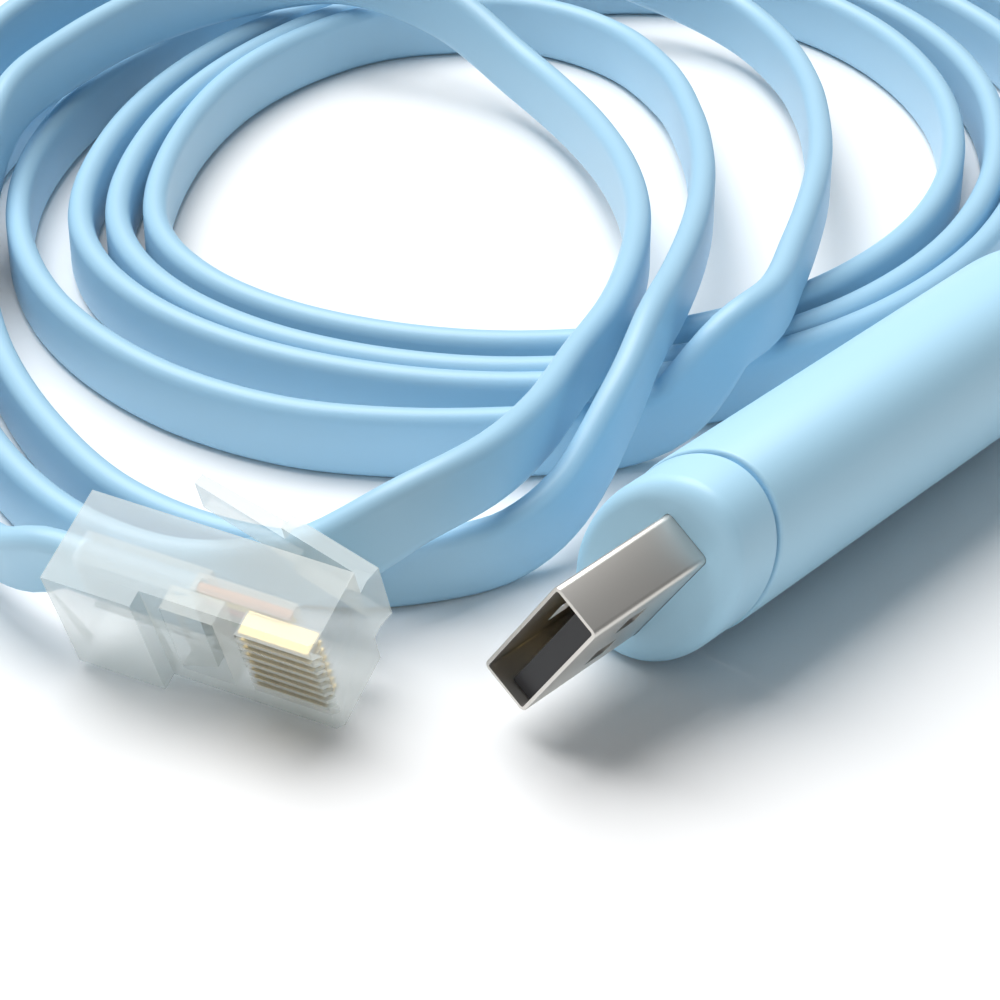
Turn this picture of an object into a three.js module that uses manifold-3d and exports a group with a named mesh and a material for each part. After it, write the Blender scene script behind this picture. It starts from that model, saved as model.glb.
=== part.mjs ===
// Console cable: an oval moulded USB connector, a flat eight-core cable lying on its edge in loose loops
// and a clear RJ45 plug. Millimetres, +Z up. The origin is on the floor, under the middle of the USB
// connector; +X runs along that connector, from its strain relief towards its metal shell.
import * as THREE from 'three';
import { mergeVertices } from 'three/addons/utils/BufferGeometryUtils.js';
import Module from 'manifold-3d';

const wasm = await Module();
wasm.setup();

// Clearances
const CLEARANCE = 0.3; // between pieces that touch or seat in each other
const SLIDE = 0.12; // round a contact blade in its slot
const CUT_OVERRUN = 0.5; // how far a cutting shape runs past the face that it opens

// USB shell, insulator and contacts
const SHELL_WIDTH = 12;
const SHELL_HEIGHT = 4.5;
const SHELL_WALL = 0.3;
const SHELL_SHOWN = 12.3; // length in front of the housing
const SHELL_SEATED = 3.5; // length inside the housing
const USB_ROLL = 56; // degrees, the connector's wide side's slope to the floor
const LATCH_HOLE = 2.2; // square holes in the wide sides
const LATCH_HOLE_SPREAD = 4.9; // across, centre to centre
const LATCH_HOLE_FROM_TIP = 6.2;
const TONGUE_THICKNESS = 1.9;
const TONGUE_SETBACK = 0.9; // from the shell's mouth
const USB_CONTACT_COUNT = 4;
const USB_CONTACT_PITCH = 2.3;
const USB_CONTACT_WIDTH = 1.1;
const USB_CONTACT_THICKNESS = 0.25;
const USB_CONTACT_LENGTH = 7.5;
const USB_CONTACT_SETBACK = 1.2; // from the tongue's tip

// Housing
const BODY_RADIUS = 6.5; // half its thickness
const OVAL = 1.57; // how many times wider than thick the housing is
const CAP_STEP = 0.15; // the cap's side is this far inside the grip's
const CAP_RADIUS = BODY_RADIUS - CAP_STEP;
const CAP_LENGTH = 5;
const CAP_FILLET = 1.3;
const BODY_LENGTH = 40; // straight part behind the cap
const SHOULDER_LENGTH = 4;
const RELIEF_RADIUS = 5; // strain relief at the shoulder
const RELIEF_END_RADIUS = 4.2;
const RELIEF_LENGTH = 9;
const CABLE_SEAT = 6; // length of cable inside each connector's mouth

// Flat cable
const CABLE_WIDTH = 6.4;
const CABLE_THICKNESS = 2.3;
const EDGE_SEGMENTS = 4; // facets round each rounded edge

// Facets
const TURNED_SEGMENTS = 48;
const ARC_STEPS = 4;
const SHOULDER_STEPS = 6;
const WIRE_SEGMENTS = 10;

// RJ45 plug
const PLUG_WIDTH = 11.68;
const PLUG_LENGTH = 21.46;
const PLUG_REAR_LENGTH = 7.4; // the thicker rear section
const PLUG_REAR_HEIGHT = 8;
const PLUG_FRONT_HEIGHT = 6.6;
const PLUG_CHAMFER = 0.5;
const PLUG_HEADING = -25; // degrees in the plan, rear to nose
const PLUG_ROLL = -66; // degrees about its length
const PLUG_PITCH = -3;
const PLUG_REST = 0.02; // its lowest corner above the floor
const LATCH_ROOT_WIDTH = 6.2;
const LATCH_TAB_WIDTH = 3.3;
const LATCH_THICKNESS = 1.3;
const LATCH_SHOULDER_LENGTH = 8.2; // wide part, from the nose
const LATCH_LENGTH = 17.2;
const LATCH_GAP = 1.1; // between the latch's root and the body
const LATCH_RISE = 14; // degrees away from the body
const JACKET_ROOM_LENGTH = 10.5;
const WIRE_ROOM_HEIGHT = 1.5;
const WIRE_ROOM_END = 3.4; // wall left in front of the wires
const WIRE_COUNT = 8;
const WIRE_PITCH = 1.02;
const WIRE_RADIUS = 0.42;
const BLADE_THICKNESS = 0.34;
const BLADE_HEIGHT = 1.9;
const BLADE_LENGTH = 5.6;
const BLADE_FROM_NOSE = 1.1;
const BLADE_SUNK = 0.35; // below the contact face
const GRIP_WINDOW_LENGTH = 4.4; // recess over the bar that grips the jacket
const GRIP_WINDOW_WIDTH = 8.4;
const GRIP_WINDOW_DEPTH = 1.1;
const GRIP_WINDOW_FROM_REAR = 8.6;

// The lie of the cable. Plan points are seen from the front, x to the right and y away, in the plan's own
// frame; the USB connector's middle is at USB_MIDDLE there and its shell points along USB_HEADING.
const USB_MIDDLE = [26.1, -7.1];
const USB_HEADING = 228.6;
const PLUG_REAR = [-30.3, -21.3];

// Each row is x, y, how far the cable's lower edge is lifted, and its lean to the right in degrees.
const LOOP_FROM_USB = [
  [57.8, 32.6, 3.4, 28], [60.2, 42.5, 1, 15], [61, 52, 0, 4], [60.2, 64, 0, 0], [57.4, 78, 0, 0], [51.4, 90.8, 0, 0],
  [41, 100.6, 0, 0], [27.5, 106.4, 0, 0], [12, 107.8, 0, 0], [-3, 105.4, 0, 0], [-16, 100.3, 0, 0],
  [-27.6, 92.6, 0, 0], [-37.6, 82.3, 0, 0], [-45, 69.5, 0, 0], [-49.2, 56, 0, 0], [-50.2, 42, 0, 0],
  [-48.6, 26, 0, 0], [-45, 10.5, 0, 0], [-39.5, -1.8, 0, 0], [-32, -11.2, 0, 0], [-23, -16.6, 0.6, 0],
  [-14, -18.2, 3, 0], [-6.5, -17, 7, 0], [-1, -12.4, 7.6, 0], [2.8, -5.6, 7.2, 0], [6, 3, 6.9, 0],
  [9.2, 11, 6.9, 0], [11.2, 20, 6.5, 0], [12.1, 30, 5.4, 0], [11.6, 41, 3.9, 0], [9.7, 52, 2.5, 0], [6.5, 62, 1.7, 0],
  [1.8, 70.5, 2.2, 0], [-6, 78.5, 5.4, 0], [-16, 83.4, 7, 0], [-26, 80.8, 6.9, 0], [-35, 73.5, 6.9, 0],
  [-42, 63, 6.9, 0], [-46.2, 52, 6.9, 0], [-47.3, 41, 4, 0], [-46, 29, 1, 0], [-42.2, 15, 0, 0],
  [-36.5, 3, 0, 0], [-29.2, -7, 0, 0], [-20.5, -12.9, 0, 0], [-11, -15, 0, 0], [-3.4, -13.6, 0, 0],
  [1, -11.4, 0.2, 0], [5.2, -8.2, 2.2, 0], [9.5, -2, 7.2, 0], [12, 5, 9.2, 0], [14.2, 13, 8.4, 0],
  [16.2, 22, 7.3, 0], [17.7, 32, 5.7, 0], [18.6, 44, 3.7, 0], [18.4, 57, 1.8, 0], [16.5, 70, 0.5, 0],
  [11.5, 80.6, 0, 0], [3, 86.6, 0, 0], [-6, 86.6, 0, 0],
];
const LOOP_TO_PLUG = [
  [52.6, 75, 0, 0], [48.3, 85.6, 0, 0], [41.3, 94, 0, 0], [31.2, 100, 0, 0], [20, 102.9, 0, 0], [8, 103.2, 0, 0],
  [-5, 100.4, 0, 0], [-17, 95, 0, 0], [-27.2, 87.2, 0, 0], [-35.6, 76.8, 0, 0], [-41.6, 64, 0, 0],
  [-44.4, 50, 0, 0], [-43.8, 38, 0, 0], [-40.4, 27, 0, 0], [-35, 18.2, 0, 0], [-27, 10.4, 0, 0],
  [-17.5, 5.4, 0, 0], [-8, 3.7, 0, 0], [2, 3.9, 0, 0], [9, 4.8, 0, 0], [14, 5.9, 1.6, 0], [18.8, 8.4, 6.8, 0],
  [22.4, 13, 7.2, 0], [25, 21.5, 6.9, 0], [27.3, 31, 6.3, 0], [29.1, 41.5, 5, 0], [30, 52, 3.6, 0], [30.1, 63, 2.3, 0],
  [28.6, 74, 1.5, 0], [24.4, 83.6, 1.7, 0], [16, 90, 3.6, 0], [5, 92.2, 6.8, 0], [-7, 92.6, 7.1, 0],
  [-19, 91.4, 6.9, 0], [-30.4, 87.4, 6.9, 0], [-40.8, 79.6, 6.9, 0], [-48.6, 68.4, 6.9, 0],
  [-53, 54.6, 4.4, 0], [-54, 40, 1, 0], [-52.6, 24, 0, 0], [-49.6, 9, 0, 0], [-45.4, -3.4, 0.8, 6],
  [-40.6, -12.6, 2, 14], [-36.2, -18, 3.2, 22],
];

// The neat turns of the coil: its inner and outer outlines, by their extreme points in the plan.
const COIL_FRONT = { inner: [2, 16.3], outer: [2, 9.4] };
const COIL_RIGHT = { inner: [43.7, 60], outer: [51.5, 64] };
const COIL_FAR = { inner: [15, 97], outer: [15, 99.7] };
const COIL_LEFT = { inner: [-31.8, 43], outer: [-38.6, 43] };
const COIL_POINTS_PER_QUARTER = 9;
const LEAD_STEP = 14; // length of one straight step of the cable's solids

const radians = THREE.MathUtils.degToRad;
const colour = (hex, roughness, metalness = 0) =>
  new THREE.MeshStandardMaterial({ color: hex, roughness, metalness });

const PVC = colour('#a9cfe8', 0.5);
const NICKEL = colour('#c9c6bb', 0.25, 1);
const BLACK_PLASTIC = colour('#15161a', 0.5);
const GOLD = colour('#d8ab4a', 0.3, 1);
const CLEAR = colour('#d5dedb', 0.15);
const WIRE_COLOURS = ['#e08a3c', '#e3cf4a', '#c23b32', '#2b2b2b', '#3e8a4c', '#3d4f9a', '#7a4f33', '#cfcfcf'];

// A three.js geometry as a solid that can be cut
function solid(geometry) {
  const bare = geometry.index ? geometry.toNonIndexed() : geometry.clone();
  bare.deleteAttribute('normal');
  bare.deleteAttribute('uv');
  const merged = mergeVertices(bare, 1e-4);
  return new wasm.Manifold(new wasm.Mesh({
    numProp: 3,
    vertProperties: Float32Array.from(merged.attributes.position.array),
    triVerts: Uint32Array.from(merged.index.array),
  }));
}

function geometryOf(manifold) {
  const mesh = manifold.getMesh();
  const geometry = new THREE.BufferGeometry();
  geometry.setAttribute('position', new THREE.BufferAttribute(Float32Array.from(mesh.vertProperties), 3));
  geometry.setIndex(new THREE.BufferAttribute(Uint32Array.from(mesh.triVerts), 1));
  geometry.computeVertexNormals();
  return geometry;
}

const cut = (body, ...tools) => geometryOf(tools.reduce((left, tool) => left.subtract(tool), solid(body)));

function named(name, geometry, material) {
  const mesh = new THREE.Mesh(geometry, material);
  mesh.name = name;
  return mesh;
}

// A box given by its low and high corners
function block(low, high) {
  const size = low.map((value, i) => high[i] - value);
  const geometry = new THREE.BoxGeometry(...size);
  return geometry.translate(...low.map((value, i) => value + size[i] / 2));
}

// A profile of [along, radius] points, front to back, turned about the X axis
function turned(profile) {
  const points = profile.map(([along, radius]) => new THREE.Vector2(radius, along)).reverse();
  return new THREE.LatheGeometry(points, TURNED_SEGMENTS).rotateZ(-Math.PI / 2);
}

// Points of a quarter circle, for a turned edge
function quarter(centre, radius, from, to) {
  return Array.from({ length: ARC_STEPS + 1 }, (_, i) => {
    const angle = radians(from + ((to - from) * i) / ARC_STEPS);
    return [centre[0] + radius * Math.cos(angle), centre[1] + radius * Math.sin(angle)];
  });
}

// Places along the USB connector, in its own frame: X towards the mouth, 0 at the housing's front face
const SHELL_TIP = SHELL_SHOWN;
const SHELL_BACK = -SHELL_SEATED;
const CAP_BACK = -CAP_LENGTH;
const BODY_FRONT = CAP_BACK - CLEARANCE;
const BODY_BACK = BODY_FRONT - BODY_LENGTH;
const SHOULDER_BACK = BODY_BACK - SHOULDER_LENGTH;
const RELIEF_BACK = SHOULDER_BACK - RELIEF_LENGTH;
const USB_CENTRE = (SHELL_TIP + RELIEF_BACK) / 2;

function usbShell() {
  const half = [SHELL_WIDTH / 2, SHELL_HEIGHT / 2];
  const outer = block([SHELL_BACK, -half[0], -half[1]], [SHELL_TIP, half[0], half[1]]);
  const bore = block(
    [SHELL_BACK + SHELL_WALL, -half[0] + SHELL_WALL, -half[1] + SHELL_WALL],
    [SHELL_TIP + CUT_OVERRUN, half[0] - SHELL_WALL, half[1] - SHELL_WALL],
  );
  const holes = [-1, 1].map((side) => {
    const middle = (side * LATCH_HOLE_SPREAD) / 2;
    return solid(block(
      [SHELL_TIP - LATCH_HOLE_FROM_TIP - LATCH_HOLE / 2, middle - LATCH_HOLE / 2, -SHELL_HEIGHT],
      [SHELL_TIP - LATCH_HOLE_FROM_TIP + LATCH_HOLE / 2, middle + LATCH_HOLE / 2, SHELL_HEIGHT],
    ));
  });
  return cut(outer, solid(bore), ...holes);
}

const TONGUE_LOW = -SHELL_HEIGHT / 2 + SHELL_WALL + CLEARANCE / 2;
const TONGUE_TOP = TONGUE_LOW + TONGUE_THICKNESS;
const TONGUE_TIP = SHELL_TIP - TONGUE_SETBACK;
const CONTACT_TIP = TONGUE_TIP - USB_CONTACT_SETBACK;
const contactMiddle = (i, count, pitch) => (i - (count - 1) / 2) * pitch;

// The insulator with a shallow seat for each contact
function usbInsulator() {
  const side = SHELL_WIDTH / 2 - SHELL_WALL - CLEARANCE / 2;
  const tongue = block([SHELL_BACK + SHELL_WALL + CLEARANCE, -side, TONGUE_LOW], [TONGUE_TIP, side, TONGUE_TOP]);
  const seats = Array.from({ length: USB_CONTACT_COUNT }, (_, i) => {
    const middle = contactMiddle(i, USB_CONTACT_COUNT, USB_CONTACT_PITCH);
    const reach = USB_CONTACT_WIDTH / 2 + SLIDE;
    return solid(block(
      [CONTACT_TIP - USB_CONTACT_LENGTH - SLIDE, middle - reach, TONGUE_TOP - USB_CONTACT_THICKNESS - SLIDE],
      [CONTACT_TIP + SLIDE, middle + reach, TONGUE_TOP + CUT_OVERRUN],
    ));
  });
  return cut(tongue, ...seats);
}

function usbContact(i) {
  const middle = contactMiddle(i, USB_CONTACT_COUNT, USB_CONTACT_PITCH);
  return block(
    [CONTACT_TIP - USB_CONTACT_LENGTH, middle - USB_CONTACT_WIDTH / 2, TONGUE_TOP - USB_CONTACT_THICKNESS],
    [CONTACT_TIP, middle + USB_CONTACT_WIDTH / 2, TONGUE_TOP],
  );
}

// The cap ring that holds the shell, with its pocket
function housingCap() {
  const rim = quarter([-CAP_FILLET, CAP_RADIUS - CAP_FILLET], CAP_FILLET, 0, 90);
  const cap = turned([[0, 0], ...rim, [CAP_BACK, CAP_RADIUS], [CAP_BACK, 0]]).scale(1, OVAL, 1);
  const pocket = block(
    [SHELL_BACK - CLEARANCE, -SHELL_WIDTH / 2 - CLEARANCE, -SHELL_HEIGHT / 2 - CLEARANCE],
    [CUT_OVERRUN, SHELL_WIDTH / 2 + CLEARANCE, SHELL_HEIGHT / 2 + CLEARANCE],
  );
  return cut(cap, solid(pocket));
}

// The long grip with its rounded shoulder and the strain relief moulded on its rear
function housingBody() {
  const shoulder = Array.from({ length: SHOULDER_STEPS + 1 }, (_, i) => {
    const angle = (Math.PI / 2) * (i / SHOULDER_STEPS);
    const drop = BODY_RADIUS - RELIEF_RADIUS;
    return [BODY_BACK - SHOULDER_LENGTH * Math.sin(angle), RELIEF_RADIUS + drop * Math.cos(angle)];
  });
  const body = turned([
    [BODY_FRONT, 0], [BODY_FRONT, BODY_RADIUS], ...shoulder,
    [RELIEF_BACK, RELIEF_END_RADIUS], [RELIEF_BACK, 0],
  ]).scale(1, OVAL, 1);
  const mouth = [CABLE_WIDTH / 2 + CLEARANCE, CABLE_THICKNESS / 2 + CLEARANCE];
  const seat = block(
    [RELIEF_BACK - CUT_OVERRUN, -mouth[0], -mouth[1]],
    [RELIEF_BACK + CABLE_SEAT + CLEARANCE, mouth[0], mouth[1]],
  );
  return cut(body, solid(seat));
}

// How high the oval housing's middle is when it lies rolled on the floor
const USB_HEIGHT = Math.hypot(
  OVAL * BODY_RADIUS * Math.sin(radians(USB_ROLL)),
  BODY_RADIUS * Math.cos(radians(USB_ROLL)),
);

function usbConnector() {
  const connector = new THREE.Group();
  connector.rotation.x = radians(USB_ROLL);
  connector.add(
    named('usb_shell', usbShell(), NICKEL),
    named('usb_insulator', usbInsulator(), BLACK_PLASTIC),
    named('housing_cap', housingCap(), PVC),
    named('housing_body', housingBody(), PVC),
  );
  for (let i = 0; i < USB_CONTACT_COUNT; i += 1) {
    connector.add(named(`usb_contact_${i + 1}`, usbContact(i), GOLD));
  }
  connector.position.set(-USB_CENTRE, 0, USB_HEIGHT);
  return connector;
}

// Plan coordinates to the part's frame
const PLAN_TURN = radians(-USB_HEADING);
function onFloor(x, y, z = 0) {
  const dx = x - USB_MIDDLE[0];
  const dy = y - USB_MIDDLE[1];
  return new THREE.Vector3(
    dx * Math.cos(PLAN_TURN) - dy * Math.sin(PLAN_TURN),
    dx * Math.sin(PLAN_TURN) + dy * Math.cos(PLAN_TURN),
    z,
  );
}

// A smooth line along the cable's middle that keeps the flat section on edge, with a lean at some points
class StandingCurve extends THREE.CatmullRomCurve3 {
  constructor(points, leans) {
    super(points, false, 'centripetal');
    this.leans = leans;
  }

  // the lower edge stays on the floor
  getPoint(share, target) {
    const point = super.getPoint(share, target);
    point.z = Math.max(point.z, CABLE_WIDTH / 2);
    return point;
  }

  leanAt(share) {
    const place = share * (this.leans.length - 1);
    const first = Math.min(Math.floor(place), this.leans.length - 2);
    return THREE.MathUtils.lerp(this.leans[first], this.leans[first + 1], place - first);
  }

  computeFrenetFrames(segments) {
    const frames = { tangents: [], normals: [], binormals: [] };
    for (let i = 0; i <= segments; i += 1) {
      const share = i / segments;
      const tangent = this.getTangentAt(share);
      const left = new THREE.Vector3(-tangent.y, tangent.x, 0).normalize();
      const up = new THREE.Vector3().crossVectors(tangent, left);
      const lean = radians(this.leanAt(this.getUtoTmapping(share)));
      frames.tangents.push(tangent);
      frames.normals.push(left.clone().multiplyScalar(Math.cos(lean)).addScaledVector(up, Math.sin(lean)));
      frames.binormals.push(up.clone().multiplyScalar(Math.cos(lean)).addScaledVector(left, -Math.sin(lean)));
    }
    return frames;
  }
}

// The jacket's section: thickness along X, width along Y, with rounded edges
function cableSection() {
  const radius = CABLE_THICKNESS / 2;
  const middle = CABLE_WIDTH / 2 - radius;
  const points = [];
  for (const side of [1, -1]) {
    for (let i = 0; i <= EDGE_SEGMENTS; i += 1) {
      const angle = (Math.PI * i) / EDGE_SEGMENTS;
      points.push(new THREE.Vector2(side * radius * Math.cos(angle), side * (middle + radius * Math.sin(angle))));
    }
  }
  return new THREE.Shape(points);
}

function cableAlong(points, leans) {
  const curve = new StandingCurve(points, leans);
  const steps = Math.round(curve.getLength() / LEAD_STEP);
  return new THREE.ExtrudeGeometry(cableSection(), { steps, bevelEnabled: false, extrudePath: curve });
}

const routePoint = ([x, y, lift]) => onFloor(x, y, lift + CABLE_WIDTH / 2);

function leadFromUsb() {
  const mouth = RELIEF_BACK - USB_CENTRE;
  const points = [CABLE_SEAT, 0, -CABLE_SEAT].map((x) => new THREE.Vector3(mouth + x, 0, USB_HEIGHT));
  const lean = 90 - USB_ROLL;
  return cableAlong(
    [...points, ...LOOP_FROM_USB.map(routePoint)],
    [lean, lean, lean, ...LOOP_FROM_USB.map((row) => row[3])],
  );
}

// One closed outline of the coil, from quarter ellipses between its extreme points
function coilOutline(which, outward) {
  const reach = (outward * CABLE_THICKNESS) / 2;
  const front = [COIL_FRONT[which][0], COIL_FRONT[which][1] - reach];
  const right = [COIL_RIGHT[which][0] + reach, COIL_RIGHT[which][1]];
  const far = [COIL_FAR[which][0], COIL_FAR[which][1] + reach];
  const left = [COIL_LEFT[which][0] - reach, COIL_LEFT[which][1]];
  const corners = [front, right, far, left, front];
  const outline = [];
  for (let k = 0; k < 4; k += 1) {
    const [from, to] = [corners[k], corners[k + 1]];
    for (let i = 0; i < COIL_POINTS_PER_QUARTER; i += 1) {
      const angle = (Math.PI / 2) * (i / COIL_POINTS_PER_QUARTER);
      const [ahead, back] = [Math.sin(angle), 1 - Math.cos(angle)];
      const alongX = k % 2 === 0 ? ahead : back;
      const alongY = k % 2 === 0 ? back : ahead;
      outline.push(onFloor(from[0] + (to[0] - from[0]) * alongX, from[1] + (to[1] - from[1]) * alongY));
    }
  }
  return outline.map((point) => new THREE.Vector2(point.x, point.y));
}

function cableCoil() {
  const ring = new THREE.Shape(coilOutline('outer', 1));
  ring.holes.push(new THREE.Path(coilOutline('inner', -1)));
  return new THREE.ExtrudeGeometry(ring, { depth: CABLE_WIDTH, bevelEnabled: false });
}

// RJ45 plug in its own frame: X from rear to nose, Z towards the latch, the contact face at the bottom
const PLUG_FLOOR = -PLUG_FRONT_HEIGHT / 2;
const WIRE_ROOM_FRONT = PLUG_LENGTH - WIRE_ROOM_END;
const BLADE_FRONT = PLUG_LENGTH - BLADE_FROM_NOSE;
const BLADE_LOW = PLUG_FLOOR + BLADE_SUNK;
const BLADE_HIGH = BLADE_LOW + BLADE_HEIGHT;
const WIRE_HEIGHT = BLADE_HIGH + CLEARANCE + WIRE_RADIUS;
const PLUG_TOP = PLUG_FLOOR + PLUG_FRONT_HEIGHT;

function plugBody() {
  const half = PLUG_WIDTH / 2;
  const outline = new THREE.Shape([
    new THREE.Vector2(0, PLUG_TOP),
    new THREE.Vector2(0, PLUG_TOP - PLUG_REAR_HEIGHT),
    new THREE.Vector2(PLUG_REAR_LENGTH, PLUG_TOP - PLUG_REAR_HEIGHT),
    new THREE.Vector2(PLUG_REAR_LENGTH, PLUG_FLOOR),
    new THREE.Vector2(PLUG_LENGTH - PLUG_CHAMFER, PLUG_FLOOR),
    new THREE.Vector2(PLUG_LENGTH, PLUG_FLOOR + PLUG_CHAMFER),
    new THREE.Vector2(PLUG_LENGTH, PLUG_TOP),
  ]);
  const body = new THREE.ExtrudeGeometry(outline, { depth: PLUG_WIDTH, bevelEnabled: false });
  body.translate(0, 0, -half).rotateX(Math.PI / 2);
  return solid(body);
}

// The springy latch: it wraps the nose's top edge and runs back over the body
function plugLatch() {
  const root = PLUG_LENGTH;
  const tab = (from, to, width) => block(
    [-to, -width / 2, 0], [-from, width / 2, LATCH_THICKNESS],
  );
  const rise = radians(LATCH_RISE);
  const arm = solid(tab(0, LATCH_SHOULDER_LENGTH, LATCH_ROOT_WIDTH))
    .add(solid(tab(LATCH_SHOULDER_LENGTH - CUT_OVERRUN, LATCH_LENGTH, LATCH_TAB_WIDTH)));
  const armGeometry = geometryOf(arm).rotateY(rise).translate(root, 0, PLUG_TOP + LATCH_GAP);
  const heel = block(
    [root - LATCH_THICKNESS, -LATCH_ROOT_WIDTH / 2, PLUG_TOP - CUT_OVERRUN],
    [root, LATCH_ROOT_WIDTH / 2, PLUG_TOP + LATCH_GAP + LATCH_THICKNESS / 2],
  );
  return solid(armGeometry).add(solid(heel));
}

function rj45Body() {
  const jacketHalf = [CABLE_WIDTH / 2 + CLEARANCE, CABLE_THICKNESS / 2 + CLEARANCE];
  const jacketRoom = block(
    [-CUT_OVERRUN, -jacketHalf[0], -jacketHalf[1]],
    [JACKET_ROOM_LENGTH, jacketHalf[0], jacketHalf[1]],
  );
  const wiresHalf = (WIRE_COUNT * WIRE_PITCH) / 2 + SLIDE;
  const wireRoom = block(
    [JACKET_ROOM_LENGTH - CUT_OVERRUN, -wiresHalf, WIRE_HEIGHT - WIRE_ROOM_HEIGHT / 2],
    [WIRE_ROOM_FRONT, wiresHalf, WIRE_HEIGHT + WIRE_ROOM_HEIGHT / 2],
  );
  const slots = Array.from({ length: WIRE_COUNT }, (_, i) => {
    const middle = contactMiddle(i, WIRE_COUNT, WIRE_PITCH);
    return solid(block(
      [BLADE_FRONT - BLADE_LENGTH - SLIDE, middle - BLADE_THICKNESS / 2 - SLIDE, PLUG_FLOOR - CUT_OVERRUN],
      [BLADE_FRONT + SLIDE, middle + BLADE_THICKNESS / 2 + SLIDE, BLADE_HIGH + SLIDE],
    ));
  });
  const window = block(
    [GRIP_WINDOW_FROM_REAR, -GRIP_WINDOW_WIDTH / 2, PLUG_FLOOR - CUT_OVERRUN],
    [GRIP_WINDOW_FROM_REAR + GRIP_WINDOW_LENGTH, GRIP_WINDOW_WIDTH / 2, PLUG_FLOOR + GRIP_WINDOW_DEPTH],
  );
  const tools = [solid(jacketRoom), solid(wireRoom), solid(window), ...slots];
  return geometryOf(tools.reduce((left, tool) => left.subtract(tool), plugBody()).add(plugLatch()));
}

function rj45Contact(i) {
  const middle = contactMiddle(i, WIRE_COUNT, WIRE_PITCH);
  return block(
    [BLADE_FRONT - BLADE_LENGTH, middle - BLADE_THICKNESS / 2, BLADE_LOW],
    [BLADE_FRONT, middle + BLADE_THICKNESS / 2, BLADE_HIGH],
  );
}

function wire(i) {
  const middle = contactMiddle(i, WIRE_COUNT, WIRE_PITCH);
  const start = JACKET_ROOM_LENGTH - CLEARANCE;
  const end = WIRE_ROOM_FRONT - CLEARANCE;
  const rod = new THREE.CylinderGeometry(WIRE_RADIUS, WIRE_RADIUS, end - start, WIRE_SEGMENTS);
  return rod.rotateZ(Math.PI / 2).translate((start + end) / 2, middle, WIRE_HEIGHT);
}

// The plug's directions in the part's frame: along it, across its wide side, and towards the latch
function plugBasis() {
  const [heading, pitch, roll] = [PLUG_HEADING - USB_HEADING, PLUG_PITCH, PLUG_ROLL].map(radians);
  const along = new THREE.Vector3(
    Math.cos(pitch) * Math.cos(heading), Math.cos(pitch) * Math.sin(heading), Math.sin(pitch),
  );
  const left = new THREE.Vector3(-Math.sin(heading), Math.cos(heading), 0);
  const up = new THREE.Vector3().crossVectors(along, left);
  const across = left.multiplyScalar(Math.cos(roll)).addScaledVector(up, Math.sin(roll));
  return [along, across, new THREE.Vector3().crossVectors(along, across)];
}

function rj45Plug() {
  const plug = new THREE.Group();
  plug.add(named('rj45_body', rj45Body(), CLEAR));
  for (let i = 0; i < WIRE_COUNT; i += 1) {
    plug.add(named(`rj45_contact_${i + 1}`, rj45Contact(i), GOLD));
    plug.add(named(`wire_${i + 1}`, wire(i), colour(WIRE_COLOURS[i], 0.4)));
  }
  plug.quaternion.setFromRotationMatrix(new THREE.Matrix4().makeBasis(...plugBasis()));
  plug.position.copy(onFloor(...PLUG_REAR));
  plug.updateMatrixWorld(true);
  plug.position.z = PLUG_REST - new THREE.Box3().setFromObject(plug, true).min.z;
  return plug;
}

// The second lead ends inside the plug, turned with it
function leadToPlug(plug) {
  const along = plugBasis()[0];
  const rear = plug.position;
  const before = rear.clone().addScaledVector(along, -CABLE_SEAT / 2);
  const end = rear.clone().addScaledVector(along, JACKET_ROOM_LENGTH - 2 * CLEARANCE);
  const turn = 90 + PLUG_ROLL;
  return cableAlong(
    [...LOOP_TO_PLUG.map(routePoint), before, rear.clone(), end],
    [...LOOP_TO_PLUG.map((row) => row[3]), turn, turn, turn],
  );
}

const cable = new THREE.Group();
const plug = rj45Plug();
cable.add(
  usbConnector(),
  named('cable_usb_lead', leadFromUsb(), PVC),
  named('cable_coil', cableCoil(), PVC),
  named('cable_plug_lead', leadToPlug(plug), PVC),
  plug,
);

export default cable;
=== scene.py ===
"""Looks of a console cable: an oval moulded USB connector, a flat cable that stands on its edge in loose
loops, and a clear RJ45 plug. Metres, +Z up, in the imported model's frame."""

import logging
import math
from dataclasses import dataclass, field
from enum import Enum
from typing import Callable, Iterable, Sequence

import bmesh
import bpy
from mathutils import Matrix, Vector


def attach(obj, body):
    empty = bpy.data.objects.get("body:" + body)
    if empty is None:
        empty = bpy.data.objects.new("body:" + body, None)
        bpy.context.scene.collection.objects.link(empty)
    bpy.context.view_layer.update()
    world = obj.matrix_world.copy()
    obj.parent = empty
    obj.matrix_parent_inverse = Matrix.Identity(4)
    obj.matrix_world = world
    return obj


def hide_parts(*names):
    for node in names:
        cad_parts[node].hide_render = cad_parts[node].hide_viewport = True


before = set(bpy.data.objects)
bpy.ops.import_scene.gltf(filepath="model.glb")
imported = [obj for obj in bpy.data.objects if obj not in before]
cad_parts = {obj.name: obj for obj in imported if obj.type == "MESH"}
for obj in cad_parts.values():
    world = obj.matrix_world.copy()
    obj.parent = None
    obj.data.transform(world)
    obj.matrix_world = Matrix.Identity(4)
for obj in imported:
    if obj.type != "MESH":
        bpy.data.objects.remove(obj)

LOG = logging.getLogger("console_cable")
MM = 0.001
BODY = "root"
OVERRUN = 1.0  # millimetres that a cutting shape runs past the face it opens
SLOT_OVERRUN = 0.5  # the same for narrow slots
BLADE_OVERRUN = 0.4  # the same for the blades' rooms, so that it ends inside the slot's cut
JOINT_OVERRUN = 0.2  # the same for the shell's joint
NEAR = 0.01  # millimetres within which a corner counts as on a face
MERGE = 1e-7  # metres within which two corners are one
SUBSURFACE_DEPTH = 1.5  # millimetres that light goes into the soft plastic

Point = tuple[float, float]
Row = tuple[float, float, float, float]
Colour = tuple[float, float, float]


# Where things lie


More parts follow.
